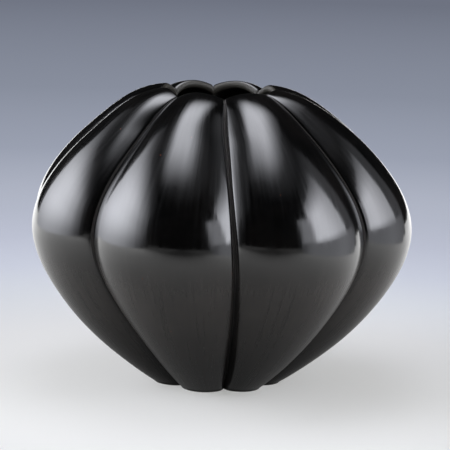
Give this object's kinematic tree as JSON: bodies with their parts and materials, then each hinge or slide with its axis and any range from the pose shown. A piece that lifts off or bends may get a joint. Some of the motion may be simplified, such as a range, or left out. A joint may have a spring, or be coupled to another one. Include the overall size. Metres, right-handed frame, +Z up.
{
  "type": "melon bowl",
  "caption": "Squat round bowl of upright melon lobes parted by cut seams, drawn in to a small scalloped mouth above a narrow flat foot.",
  "frame": {"origin": "middle of the bowl's outline in plan, on the flat underside of the foot", "axes": "+Z up through the mouth, -Y towards the viewer of the picture, +X to that viewer's right"},
  "size_m": [0.1878, 0.1878, 0.148],
  "materials": {
    "burnished_clay": "stone-burnished, smoke-fired black"
  },
  "bodies": {
    "root": {"bowl_body": "burnished_clay"}
  },
  "joints": []
}
